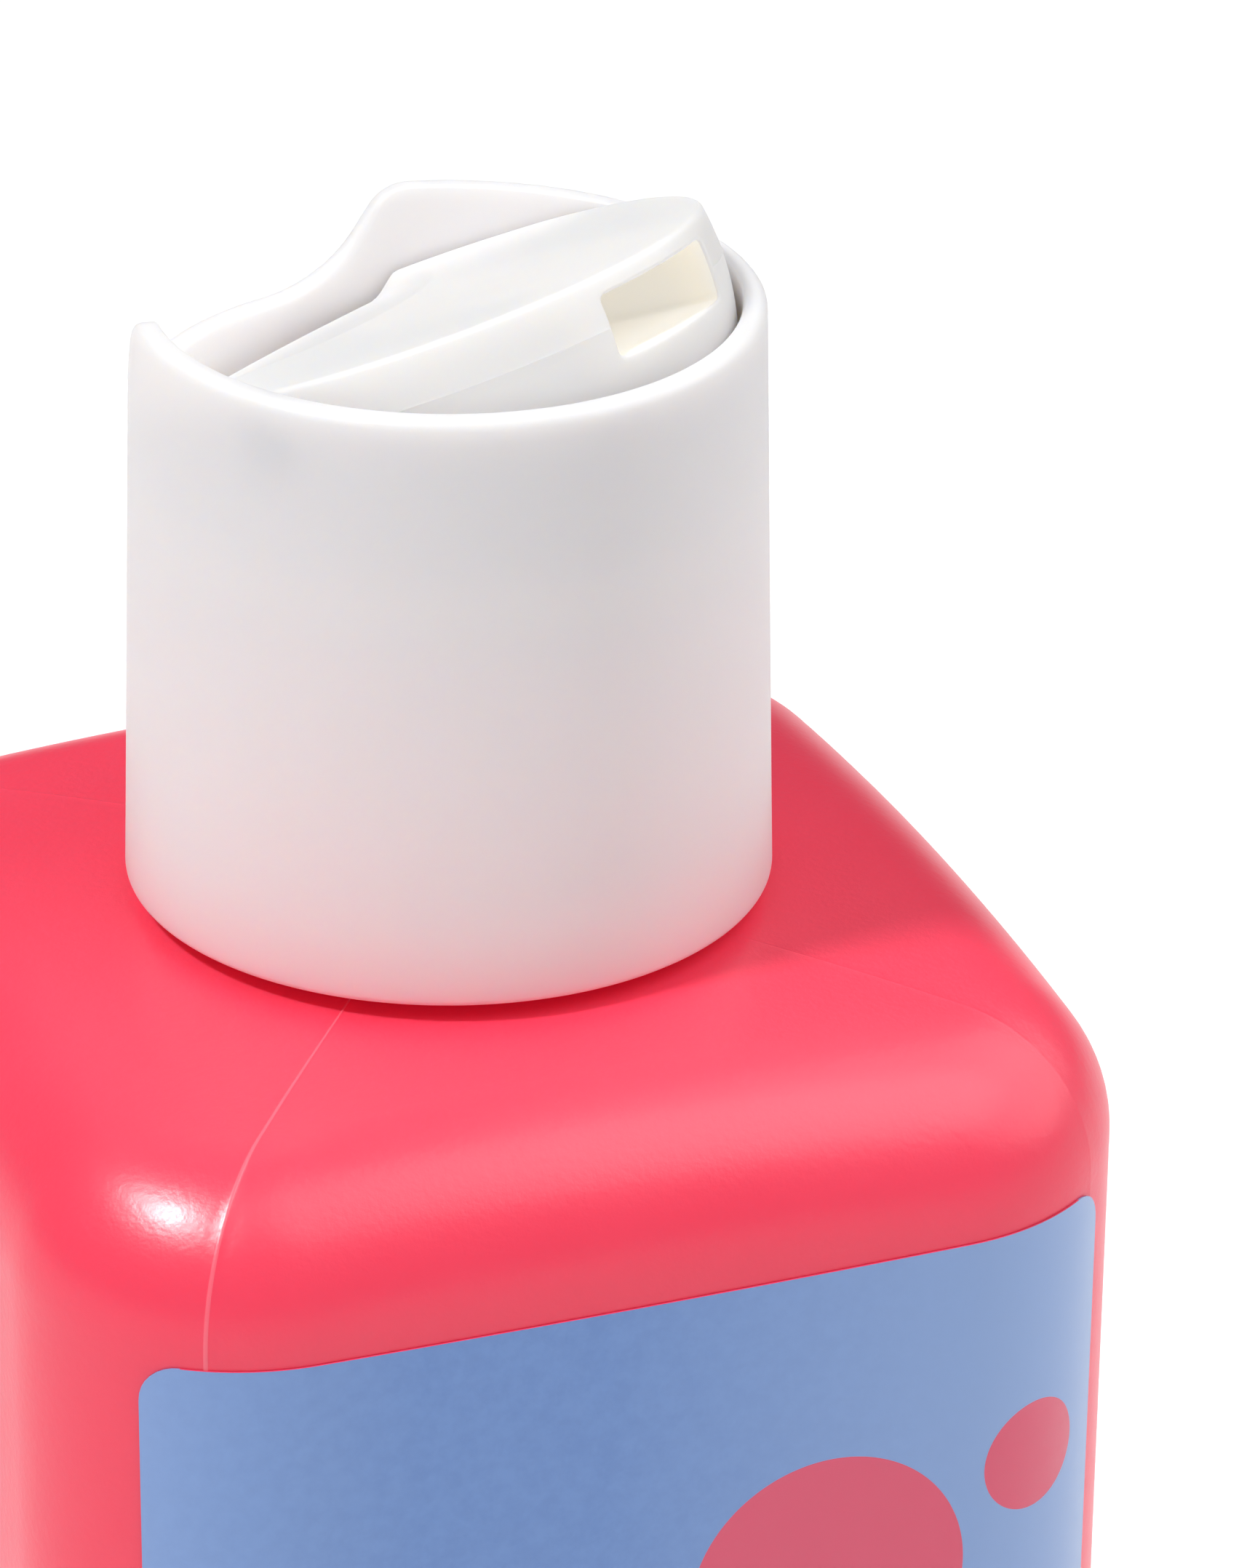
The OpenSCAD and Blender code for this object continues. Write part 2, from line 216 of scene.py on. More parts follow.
def math_node(nodes, links, operation, a, b=None):
    node = nodes.new("ShaderNodeMath")
    node.operation = operation
    for socket, value in zip(node.inputs, (a, b)):
        if isinstance(value, (int, float)):
            socket.default_value = value
        elif value is not None:
            links.new(value, socket)
    return node.outputs[0]


def mix_node(nodes, links, factor, a, b):
    mix = nodes.new("ShaderNodeMix")
    mix.data_type = "RGBA"
    links.new(factor, mix.inputs["Factor"])
    for socket, value in ((mix.inputs[6], a), (mix.inputs[7], b)):
        if isinstance(value, tuple):
            socket.default_value = (*value, 1)
        else:
            links.new(value, socket)
    return mix.outputs[2]


def new_material(name):
    """A material with its node tree, its main shader and the object's own coordinates."""
    material = bpy.data.materials.new(name)
    material.use_nodes = True
    nodes, links = material.node_tree.nodes, material.node_tree.links
    coords = nodes.new("ShaderNodeTexCoord").outputs["Object"]
    return material, nodes, links, nodes["Principled BSDF"], coords


CORAL = (0.97, 0.06, 0.12)
CORAL_DEEP = (0.95, 0.054, 0.11)
# Painted highlight: a paler coral along one mould line stands in for the light that its raised
# ridge catches
SEAM_PAINTED_HIGHLIGHT = (0.98, 0.15, 0.21)
# Half the width of the painted highlight on the mould line, and how far from the axis it has that
# width
SEAM_HIGHLIGHT_HALF, SEAM_HIGHLIGHT_REACH = 0.06, 20


def seam_highlight_mask(nodes, links, coords, seam_deg):
    """1 on the painted highlight of one mould line, which lies in an upright plane through the
    axis, and 0 away from it.
    """
    split = nodes.new("ShaderNodeSeparateXYZ")
    links.new(coords, split.inputs[0])
    c, s = math.cos(math.radians(seam_deg)), math.sin(math.radians(seam_deg))
    x, y = split.outputs[0], split.outputs[1]
    across = math_node(nodes, links, "SUBTRACT", math_node(nodes, links, "MULTIPLY", x, s),
                       math_node(nodes, links, "MULTIPLY", y, c))
    along = math_node(nodes, links, "ADD", math_node(nodes, links, "MULTIPLY", x, c),
                      math_node(nodes, links, "MULTIPLY", y, s))
    width = math_node(nodes, links, "MULTIPLY", along, SEAM_HIGHLIGHT_HALF / SEAM_HIGHLIGHT_REACH)
    return math_node(nodes, links, "LESS_THAN", math_node(nodes, links, "ABSOLUTE", across), width)


def coral_plastic():
    material, nodes, links, shader, coords = new_material("coral_polyethylene")
    broad = noise_node(nodes, links, coords, 60, 2)
    colour = ramp_node(nodes, links, broad, [(0.3, CORAL_DEEP), (0.7, CORAL)])
    # Painted highlight along the first mould line
    seam_highlight = seam_highlight_mask(nodes, links, coords, SEAMS[0])
    colour = mix_node(nodes, links, seam_highlight, colour, SEAM_PAINTED_HIGHLIGHT)
    links.new(colour, shader.inputs["Base Color"])
    peel = noise_node(nodes, links, coords, 2600, 3, 0.6)
    links.new(bump_node(nodes, links, peel, 0.016), shader.inputs["Normal"])
    rough = ramp_node(nodes, links, noise_node(nodes, links, coords, 240, 1),
                      [(0.0, 0.285), (1.0, 0.33)])
    links.new(rough, shader.inputs["Roughness"])
    shader.inputs["Subsurface Weight"].default_value = 0.3
    shader.inputs["Subsurface Radius"].default_value = (1.0, 0.15, 0.2)
    shader.inputs["Subsurface Scale"].default_value = 0.003
    # Painted glow: a faint red emission stands in for light that wanders inside the full bottle and
    # comes out red everywhere, in the shadows too
    shader.inputs["Emission Color"].default_value = (1.0, 0.01, 0.06, 1)
    shader.inputs["Emission Strength"].default_value = 0.085
    shader.inputs["IOR"].default_value = 1.5
    return material


outer = raise_seams(body_rings(0))
fillet_z = float(dome_z(0, NECK_R)) + NECK_FILLET
neck_profile = (arc(NECK_R + NECK_FILLET, fillet_z, NECK_FILLET, 260, 180, 4)
                + [(NECK_R, z) for z in np.linspace(130, LIP_Z - 1, 8)]
                + arc(NECK_R - NECK_ROUND, LIP_Z - NECK_ROUND, NECK_ROUND, 0, 90)
                + arc(BORE_R + NECK_ROUND, LIP_Z - NECK_ROUND, NECK_ROUND, 90, 180)
                + [(BORE_R, z) for z in (LIP_Z - 6, LIP_Z - 12, LIP_Z - 17)])
rings = outer + [circle_ring(r, z) for r, z in neck_profile] + body_rings(WALL)[::-1]
points = np.concatenate(rings + [np.array([[0, 0, PUSH_UP], [0, 0, PUSH_UP + WALL]])])
faces = skin_between(rings)
columns, tip = len(COLUMNS), len(points) - 2
inner_start = (len(rings) - 1) * columns
faces += [(i, tip, (i + 1) % columns) for i in range(columns)]
faces += [(inner_start + i, inner_start + (i + 1) % columns, tip + 1) for i in range(columns)]
bottle_body = make_mesh("bottle_body", points, faces)
bottle_body.data.materials.append(coral_plastic())
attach(bottle_body, "bottle")
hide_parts("bottle")

# Neck thread. A moulded ridge of one and a half turns on the neck, in the bottle's own plastic.
# It is hidden by the cap until the cap is turned off.
PITCH, THREAD_TURNS = 3.175, 1.5
THREAD_START_Z, THREAD_START_DEG = 133.2, 40
THREAD_H, THREAD_ROOT_W, THREAD_TIP_W, THREAD_SUNK = 0.95, 2.0, 0.8, 0.15
THREAD_STEPS, THREAD_FADE_STEPS = 72, 6


def helix_ridge(name, root_r, height, start_z, turns):
    """A ridge that climbs a right-hand helix. A negative height points it inward."""
    steps = int(THREAD_STEPS * turns)
    rings = []
    for i in range(steps + 1):
        share = i / steps
        a = math.radians(THREAD_START_DEG + 360 * turns * share)
        z = start_z + PITCH * turns * share
        fade = min(1, share * steps / THREAD_FADE_STEPS, (1 - share) * steps / THREAD_FADE_STEPS)
        tip = root_r + height * max(fade, 0.03)
        hidden = root_r - math.copysign(THREAD_SUNK, height)
        section = [(hidden, -THREAD_ROOT_W / 2), (root_r, -THREAD_ROOT_W / 2),
                   (tip, -THREAD_TIP_W / 2), (tip, THREAD_TIP_W / 2),
                   (root_r, THREAD_ROOT_W / 2), (hidden, THREAD_ROOT_W / 2)]
        rings.append([(r * math.cos(a), r * math.sin(a), z + h) for r, h in section])
    points = [p for ring in rings for p in ring]
    faces = skin_between(rings) + [tuple(range(6)), tuple(range(len(points) - 6, len(points)))]
    return make_mesh(name, points, faces, 30)


neck_thread = helix_ridge("neck_thread", NECK_R, THREAD_H, THREAD_START_Z, THREAD_TURNS)
neck_thread.data.materials.append(bottle_body.data.materials[0])
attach(neck_thread, "bottle")

# Label. A thin film, printed and die-cut, that covers the front face and wraps round both front
# corners. The print is a plain blue field up to the cut edge, with a few round red bubbles. A
# painted sheen makes the blue paler toward both corners.
LABEL_LOW, LABEL_TOP, LABEL_T, LABEL_LIFT = 11.0, 119.3, 0.1, 0.02
LABEL_WRAP, LABEL_CORNER, LABEL_SHORT_LEFT = 46.0, 1.8, 0.5
LABEL_BLUE = (0.13, 0.28, 0.66)
LABEL_BLUE_DEEP = (0.11, 0.25, 0.62)
LABEL_BLUE_PAINTED_SHEEN = (0.26, 0.41, 0.76)
LABEL_RED = (0.8, 0.042, 0.13)
# Painted sheen: the blue is a little paler toward both corners, for the film's sheen there. The
# middle of the deepest blue, and how far the paler tone reaches
SHEEN_LEAST_AT, SHEEN_REACH = -6, 26
# Across from the middle of the front, height, and radius of each bubble
BUBBLES = [(8.2, 103.9, 6.3), (18.0, 108.0, 2.6), (15.8, 97.2, 3.6),
           (3.6, 95.2, 2.1), (9.0, 90.6, 1.7), (19.6, 91.4, 1.3)]


def label_strip(d):
    """Points along the label at height zero, with their run along the surface from the middle."""
    half = HALF_W - CORNER_R
    arc_deg = np.linspace(0, LABEL_WRAP, 24)[1:]
    xs = np.linspace(0, half, 20)
    pts = [(x, -HALF_W - FACE_SWELL * (1 - (x / half) ** 2) - d) for x in xs]
    r = CORNER_R + d
    pts += [(half + r * math.sin(t), -half - r * math.cos(t)) for t in np.radians(arc_deg)]
    pts = np.array(pts)
    run = np.concatenate([[0], np.cumsum(np.linalg.norm(np.diff(pts, axis=0), axis=1))])
    return pts, run


def label_rows(d):
    """Rows of (x, y, z, run) points from the label's lower edge to its top, with round corners."""
    pts, run = label_strip(d)
    full = run[-1]
    zs = np.concatenate([
        LABEL_LOW + LABEL_CORNER * (1 - np.cos(np.radians(np.linspace(0, 90, 9)))),
        np.linspace(LABEL_LOW + LABEL_CORNER, LABEL_TOP - LABEL_CORNER, 12)[1:-1],
        LABEL_TOP - LABEL_CORNER * (1 - np.cos(np.radians(np.linspace(90, 0, 9))))])
    rows = []
    for z in zs:
        past = max(LABEL_LOW + LABEL_CORNER - z, z - LABEL_TOP + LABEL_CORNER, 0)
        reach = full - LABEL_CORNER + math.sqrt(max(LABEL_CORNER ** 2 - past ** 2, 0))
        s = np.linspace(-reach + LABEL_SHORT_LEFT, reach, 97)
        x = np.interp(np.abs(s), run, pts[:, 0]) * np.sign(s)
        y = np.interp(np.abs(s), run, pts[:, 1])
        rows.append(np.column_stack([x, y, np.full_like(x, z), s]))
    return rows


def label_film():
    """The closed film, which keeps each point's run along the surface for the print."""
    outer_rows, inner_rows = label_rows(LABEL_T), label_rows(LABEL_LIFT)
    n, count = len(outer_rows[0]), len(outer_rows)
    points = np.concatenate(outer_rows + inner_rows)
    faces = skin_between(outer_rows, wrap=False)
    shift = n * count
    faces += [tuple(shift + v for v in reversed(f)) for f in skin_between(inner_rows, wrap=False)]
    rim = (list(range(n)) + [k * n + n - 1 for k in range(1, count)]
           + [(count - 1) * n + i for i in range(n - 2, -1, -1)]
           + [k * n for k in range(count - 2, 0, -1)])
    faces += [(rim[i], rim[(i + 1) % len(rim)], rim[(i + 1) % len(rim)] + shift, rim[i] + shift)
              for i in range(len(rim))]
    film = make_mesh("label_film", points[:, :3], faces)
    layer = film.data.attributes.new("label_run", "FLOAT", "POINT")
    layer.data.foreach_set("value", (points[:, 3] * MM).astype(np.float32))
    return film, label_strip(LABEL_T)[1][-1]


def label_print(half_run):
    """The film's ink: blue up to the cut edge, and red bubbles, with a painted sheen that makes the
    blue paler toward both corners.
    """
    material, nodes, links, shader, coords = new_material("printed_film")
    split = nodes.new("ShaderNodeSeparateXYZ")
    links.new(coords, split.inputs[0])
    height = split.outputs[2]
    attribute = nodes.new("ShaderNodeAttribute")
    attribute.attribute_name = "label_run"
    run = attribute.outputs["Fac"]

    # Distance inside a rectangle with rounded corners, by the usual three cases
    mid_z, half_z = (LABEL_LOW + LABEL_TOP) / 2, (LABEL_TOP - LABEL_LOW) / 2
    across = math_node(nodes, links, "SUBTRACT", math_node(nodes, links, "ABSOLUTE", run),
                       (half_run - LABEL_CORNER) * MM)
    up = math_node(nodes, links, "SUBTRACT", height, mid_z * MM)
    up = math_node(nodes, links, "SUBTRACT", math_node(nodes, links, "ABSOLUTE", up),
                   (half_z - LABEL_CORNER) * MM)
    out_x = math_node(nodes, links, "MAXIMUM", across, 0.0)
    out_z = math_node(nodes, links, "MAXIMUM", up, 0.0)
    corner = math_node(nodes, links, "SQRT", math_node(
        nodes, links, "ADD", math_node(nodes, links, "POWER", out_x, 2.0),
        math_node(nodes, links, "POWER", out_z, 2.0)))
    inked = math_node(nodes, links, "LESS_THAN", corner, LABEL_CORNER * MM)
    for x, z, bubble_r in BUBBLES:
        dx = math_node(nodes, links, "SUBTRACT", run, x * MM)
        dz = math_node(nodes, links, "SUBTRACT", height, z * MM)
        away = math_node(nodes, links, "SQRT", math_node(
            nodes, links, "ADD", math_node(nodes, links, "POWER", dx, 2.0),
            math_node(nodes, links, "POWER", dz, 2.0)))
        inked = math_node(nodes, links, "MULTIPLY", inked,
                          math_node(nodes, links, "GREATER_THAN", away, bubble_r * MM))
    mottle = noise_node(nodes, links, coords, 1400, 4, 0.65)
    blue = ramp_node(nodes, links, mottle, [(0.35, LABEL_BLUE_DEEP), (0.65, LABEL_BLUE)])
    # Painted sheen: the blue grows paler with distance from its deepest part toward both corners
    aside = math_node(nodes, links, "ADD", run, -SHEEN_LEAST_AT * MM)
    aside = math_node(nodes, links, "ABSOLUTE", aside)
    aside = math_node(nodes, links, "MULTIPLY", aside, 1 / (SHEEN_REACH * MM))
    painted_sheen = ramp_node(nodes, links, aside, [(0.15, 0.0), (0.85, 0.9)])
    blue = mix_node(nodes, links, painted_sheen, blue, LABEL_BLUE_PAINTED_SHEEN)
    links.new(mix_node(nodes, links, inked, LABEL_RED, blue), shader.inputs["Base Color"])
    grain = noise_node(nodes, links, coords, 1100, 3)
    normal = bump_node(nodes, links, grain, 0.006)
    links.new(normal, shader.inputs["Normal"])
    rough = ramp_node(nodes, links, mottle, [(0.3, 0.36), (0.7, 0.44)])
    links.new(rough, shader.inputs["Roughness"])
    shader.inputs["Coat Weight"].default_value = 0.9
    shader.inputs["Coat Roughness"].default_value = 0.16
    return material


label, half_run = label_film()
label.data.materials.append(label_print(half_run))
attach(label, "bottle")
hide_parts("label")

# Neck seal. A washer of fine closed-cell foam between the neck's lip and the cap's deck.
# It rises with the cap, and its shape is the solid's own.


def foam():
    material, nodes, links, shader, coords = new_material("closed_cell_foam")
    cells = nodes.new("ShaderNodeTexVoronoi")
    cells.inputs["Scale"].default_value = 5200
    links.new(coords, cells.inputs["Vector"])
    shade = ramp_node(nodes, links, cells.outputs["Distance"], [(0.1, 0.70), (0.6, 0.82)])
    links.new(shade, shader.inputs["Base Color"])
    links.new(bump_node(nodes, links, cells.outputs["Distance"], 0.05), shader.inputs["Normal"])
    shader.inputs["Roughness"].default_value = 0.85
    return material


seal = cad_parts["neck_seal"]
seal.data.materials.clear()
seal.data.materials.append(foam())

# Cap. One injection moulding in satin white polypropylene: a slightly tapered skirt with the well
# for the disc above its deck, and a finger scoop cut into the rim at the back of the disc.
CAP_FOOT_Z, RIM_Z, DECK_LOW_Z, DECK_TOP_Z, PIVOT_Z = 128.35, 154.65, 145.5, 147.1, 152.3
CAP_FOOT_R, CAP_RIM_R, SKIRT_BORE_R, WELL_R = 14.0, 13.36, 12.3, 12.33
RIM_ROUND, RIM_INNER_ROUND, FOOT_ROUND, FOOT_BEVEL, DECK_FILLET = 0.45, 0.15, 0.3, 0.2, 0.4
# Over the scoop the wall's edge is fully rounded
SCOOP_OUTER_ROUND, SCOOP_INNER_ROUND = 0.52, 0.45
SCOOP_D, SCOOP_HALF, SCOOP_LOW_R, SCOOP_TOP_R, SCOOP_SLOPE = 4.4, 10.9, 5.0, 2.1, 57.0
FRONT_TURN, OPEN_TILT = -53.5, 24.0
# The sockets stay shallow, so that the thin wall outside them doesn't show dark
PIN_R, PIN_CLEAR, PIN_TIP_R = 1.1, 0.05, 12.6


def scoop_curve():
    """(distance round the wall, depth) points of the rim, from the scoop's middle to its end."""
    slope = math.radians(SCOOP_SLOPE)
    radii = SCOOP_LOW_R + SCOOP_TOP_R
    rise = SCOOP_D - radii * (1 - math.cos(slope))
    floor = SCOOP_HALF - rise / math.tan(slope) - radii * math.sin(slope)
    low = arc(floor, SCOOP_LOW_R - SCOOP_D, SCOOP_LOW_R, -90, SCOOP_SLOPE - 90, 18)
    top = arc(SCOOP_HALF, -SCOOP_TOP_R, SCOOP_TOP_R, 90 + SCOOP_SLOPE, 90, 12)
    flat = [(u, -SCOOP_D) for u in np.linspace(0, floor, 11)[:-1]]
    return np.array(flat + low + top)


def rim_columns(rest=84):
    """Angle and height of the rim all the way round, and how much of the scoop each point is in."""
    curve = scoop_curve()
    angle = curve[:, 0] / ((WELL_R + CAP_RIM_R) / 2)
    height = RIM_Z + curve[:, 1]
    inside = np.clip(-curve[:, 1] / 1.6, 0, 1)
    beyond = np.linspace(angle[-1], math.pi, rest + 1)[1:]
    angle = np.concatenate([angle, beyond])
    height = np.concatenate([height, np.full(rest, RIM_Z)])
    inside = np.concatenate([inside * inside * (3 - 2 * inside), np.zeros(rest)])
    return (np.concatenate([angle, 2 * math.pi - angle[-2:0:-1]]),
            np.concatenate([height, height[-2:0:-1]]), np.concatenate([inside, inside[-2:0:-1]]))


def short_way(turn):
    """A turn in radians, taken the short way round."""
    return (turn + math.pi) % (2 * math.pi) - math.pi


def lowered_edge(angle, height, radius, shift):
    """The rim's curve moved into the wall, square to itself, by shift."""
    du = short_way(np.roll(angle, -1) - np.roll(angle, 1)) * radius
    dz = np.roll(height, -1) - np.roll(height, 1)
    size = np.hypot(du, dz)
    return angle + dz / size * shift / radius, height - du / size * shift


def skirt_r(z):
    return CAP_FOOT_R + (CAP_RIM_R - CAP_FOOT_R) * (z - CAP_FOOT_Z) / (RIM_Z - CAP_FOOT_Z)


def cap_rings():
    """Rings from the middle of the deck's underside, round the skirt and rim, to the deck's top."""
    centre = math.radians(FRONT_TURN + 180)
    angle, height, inside = rim_columns()
    outer_round = RIM_ROUND + (SCOOP_OUTER_ROUND - RIM_ROUND) * inside
    inner_round = RIM_INNER_ROUND + (SCOOP_INNER_ROUND - RIM_INNER_ROUND) * inside
    even = np.linspace(0, 2 * math.pi, len(angle), endpoint=False)

    def placed(a, z, r):
        return np.column_stack([r * np.cos(a + centre), r * np.sin(a + centre), z])

    def circle(r, z):
        return placed(even, np.full_like(even, z), np.full_like(even, r))

    rings = [circle(r, DECK_LOW_Z) for r in (2, 6, 10, 11.9)]
    rings += [circle(r, z) for r, z in
              arc(SKIRT_BORE_R - DECK_FILLET, DECK_LOW_Z - DECK_FILLET, DECK_FILLET, 90, 0, 4)]
    rings += [circle(SKIRT_BORE_R, z)
              for z in (141, 135, CAP_FOOT_Z + 0.5, CAP_FOOT_Z + FOOT_BEVEL)]
    rings += [circle(r, CAP_FOOT_Z)
              for r in (SKIRT_BORE_R + FOOT_BEVEL, CAP_FOOT_R - FOOT_ROUND - 0.15)]
    rings += [circle(r, z) for r, z in
              arc(CAP_FOOT_R - FOOT_ROUND, CAP_FOOT_Z + FOOT_ROUND, FOOT_ROUND, 270, 360, 6)]
    edge_a, edge_z = lowered_edge(angle, height, CAP_RIM_R, outer_round)
    foot_z = CAP_FOOT_Z + FOOT_ROUND
    for share in (0.12, 0.3, 0.5, 0.65, 0.76, 0.84, 0.9, 0.95, 0.98):
        a = even + short_way(edge_a - even) * share ** 2
        z = foot_z + (edge_z - foot_z) * share
        rings.append(placed(a, z, skirt_r(z)))
    for t in np.radians(np.linspace(0, 90, 9)):
        a, z = lowered_edge(angle, height, CAP_RIM_R, outer_round * (1 - math.sin(t)))
        rings.append(placed(a, z, skirt_r(z) - outer_round * (1 - math.cos(t))))
    for t in np.radians(np.linspace(90, 0, 8)):
        a, z = lowered_edge(angle, height, WELL_R, inner_round * (1 - math.sin(t)))
        rings.append(placed(a, z, WELL_R + inner_round * (1 - math.cos(t))))
    in_a, in_z = lowered_edge(angle, height, WELL_R, inner_round)
    floor_z = DECK_TOP_Z + DECK_FILLET
    for share in (0.1, 0.3, 0.5, 0.75, 1):
        a = even + short_way(in_a - even) * (1 - share)
        z = in_z + (floor_z - in_z) * share
        rings.append(placed(a, z, np.full_like(a, WELL_R)))
    rings += [circle(r, z) for r, z in
              arc(WELL_R - DECK_FILLET, floor_z, DECK_FILLET, 0, -90, 4)[1:]]
    rings += [circle(r, DECK_TOP_Z) for r in (10, 6, 2)]
    return rings


def closed_with_tips(name, rings, low, high):
    """A solid from rings whose first and last close to a point each."""
    n = len(rings[0])
    points = np.concatenate(rings + [np.array([low, high])])
    tip, end = len(points) - 2, (len(rings) - 1) * n
    faces = skin_between(rings)
    faces += [(i, tip, (i + 1) % n) for i in range(n)]
    faces += [(end + i, end + (i + 1) % n, tip + 1) for i in range(n)]
    return make_mesh(name, points, faces)


def block(name, low, high):
    """A closed box between two corners in millimetres, used as a cutter or a plain web."""
    corners = [(x, y, z) for x in (low[0], high[0]) for y in (low[1], high[1])
               for z in (low[2], high[2])]
    faces = [(0, 1, 3, 2), (4, 6, 7, 5), (0, 4, 5, 1), (2, 3, 7, 6), (0, 2, 6, 4), (1, 5, 7, 3)]
    return make_mesh(name, corners, faces)


def rod(name, r, length, steps=64, round_end=0.0):
    """A closed rod along Y, centred on the origin, with rounded ends if asked."""
    half = length / 2
    if round_end:
        profile = arc(r - round_end, half - round_end, round_end, 0, 90, 4)
    else:
        profile = [(r, half)]
    profile = [(p[0], -p[1]) for p in reversed(profile)] + profile
    rings = [[(rr * math.cos(a), y, rr * math.sin(a))
              for a in np.linspace(0, 2 * math.pi, steps, endpoint=False)] for rr, y in profile]
    return closed_with_tips(name, [np.array(ring) for ring in rings], (0, -half, 0), (0, half, 0))


def combine(target, tool, operation):
    """Applies one exact boolean to the target and deletes the tool."""
    modifier = target.modifiers.new("cut", "BOOLEAN")
    modifier.operation, modifier.solver, modifier.object = operation, "EXACT", tool
    apply_modifiers(target)
    bpy.data.objects.remove(tool)


def apply_modifiers(piece):
    """Puts the mesh that the modifiers make in the place of the piece's own, under its name."""
    graph = bpy.context.evaluated_depsgraph_get()
    mesh = bpy.data.meshes.new_from_object(piece.evaluated_get(graph))
    piece.modifiers.clear()
    old, piece.data = piece.data, mesh
    name = old.name
    bpy.data.meshes.remove(old)
    mesh.name = name


def weld(piece, reach_mm=0.002):
    """Closes the slivers that the booleans leave along their seams."""
    bm = bmesh.new()
    bm.from_mesh(piece.data)
    bmesh.ops.remove_doubles(bm, verts=bm.verts, dist=reach_mm * MM)
    bmesh.ops.dissolve_degenerate(bm, dist=reach_mm * MM, edges=bm.edges)
    bm.to_mesh(piece.data)
    bm.free()


def at_pivot(piece, tilt_deg):
    """Moves a piece drawn with its outlet along +X and its pivot at the origin into the cap."""
    place = (Matrix.Translation((0, 0, PIVOT_Z * MM))
             @ Matrix.Rotation(math.radians(FRONT_TURN), 4, "Z")
             @ Matrix.Rotation(math.radians(-tilt_deg), 4, "Y"))
    piece.data.transform(place)
    return piece


def white_plastic(name, base, shade, rough_low, rough_high, depth_mm):
    """Satin polypropylene. Light travels a little way inside it, so thin walls glow."""
    material, nodes, links, shader, coords = new_material(name)
    broad = noise_node(nodes, links, coords, 90, 2)
    colour = ramp_node(nodes, links, broad, [(0.3, shade), (0.7, base)])
    links.new(colour, shader.inputs["Base Color"])
    fine = noise_node(nodes, links, coords, 2400, 3)
    links.new(bump_node(nodes, links, fine, 0.0025), shader.inputs["Normal"])
    rough = noise_node(nodes, links, coords, 380, 3)
    links.new(ramp_node(nodes, links, rough, [(0.3, rough_low), (0.7, rough_high)]),
              shader.inputs["Roughness"])
    shader.inputs["Subsurface Weight"].default_value = 0.9
    shader.inputs["Subsurface Radius"].default_value = (1.0, 0.88, 0.72)
    shader.inputs["Subsurface Scale"].default_value = depth_mm * MM
    shader.inputs["IOR"].default_value = 1.49
    shader.inputs["Specular IOR Level"].default_value = 0.3
    return material


CAP_WHITE, CAP_WHITE_SHADE = (0.91, 0.875, 0.875), (0.90, 0.865, 0.865)
PORT_W, PORT_L = 1.2, 5.0


def port_cutter(low, high):
    """The upright slot that runs from the neck through the deck, the seat and the barrel."""
    return block("port", (-PORT_W / 2, -PORT_L / 2, low), (PORT_W / 2, PORT_L / 2, high))


cap_body = closed_with_tips("cap_body", cap_rings(), (0, 0, DECK_LOW_Z), (0, 0, DECK_TOP_Z))
sockets = rod("sockets", PIN_R + PIN_CLEAR, 2 * (PIN_TIP_R + 2 * PIN_CLEAR))
combine(cap_body, at_pivot(sockets, 0), "DIFFERENCE")
combine(cap_body, at_pivot(port_cutter(-8, -1), 0), "DIFFERENCE")
weld(cap_body)
cap_body.data.materials.clear()
cap_body.data.materials.append(
    white_plastic("satin_polypropylene", CAP_WHITE, CAP_WHITE_SHADE, 0.42, 0.5, 2.0))
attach(cap_body, "cap")
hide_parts("cap_shell")

# Cap thread. The matching ridge inside the skirt, moulded with the cap in the same polypropylene.
# It lies half a pitch below the neck's ridge, and a little more, so that the two stay clear.
CAP_THREAD_CLEAR, CAP_THREAD_TURNS = 0.4, 1.4
cap_thread = helix_ridge("cap_thread", SKIRT_BORE_R, -THREAD_H,
                         THREAD_START_Z - PITCH / 2 - CAP_THREAD_CLEAR, CAP_THREAD_TURNS)
cap_thread.data.materials.append(cap_body.data.materials[0])
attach(cap_thread, "cap")

# Disc seat. A block on the deck, moulded with the cap in the same polypropylene. The disc's barrel
# turns in its groove and seals the port when the disc is shut.
BARREL_R, BARREL_L, SIDE_T = 3.8, 10.0, 1.0
PIVOT_DROP, OUTLET_DROP, OUTLET_H, OUTLET_W, CHANNEL_WALL = 2.2, 0.85, 2.65, 7.6, 0.9
SEAT_TOP = PIVOT_DROP - OUTLET_DROP - OUTLET_H - CHANNEL_WALL - 0.3
SEAT_HALF, SEAT_HALF_L = BARREL_R + SIDE_T, BARREL_L / 2 - SIDE_T
disc_seat = block("disc_seat", (-SEAT_HALF, -SEAT_HALF_L, DECK_TOP_Z - PIVOT_Z - 0.1),
                  (SEAT_HALF, SEAT_HALF_L, SEAT_TOP))
combine(disc_seat, rod("groove", BARREL_R + PIN_CLEAR, BARREL_L, 96), "DIFFERENCE")
combine(disc_seat, port_cutter(-8, -1), "DIFFERENCE")
at_pivot(disc_seat, 0)
disc_seat.data.materials.clear()
disc_seat.data.materials.append(cap_body.data.materials[0])
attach(disc_seat, "cap")

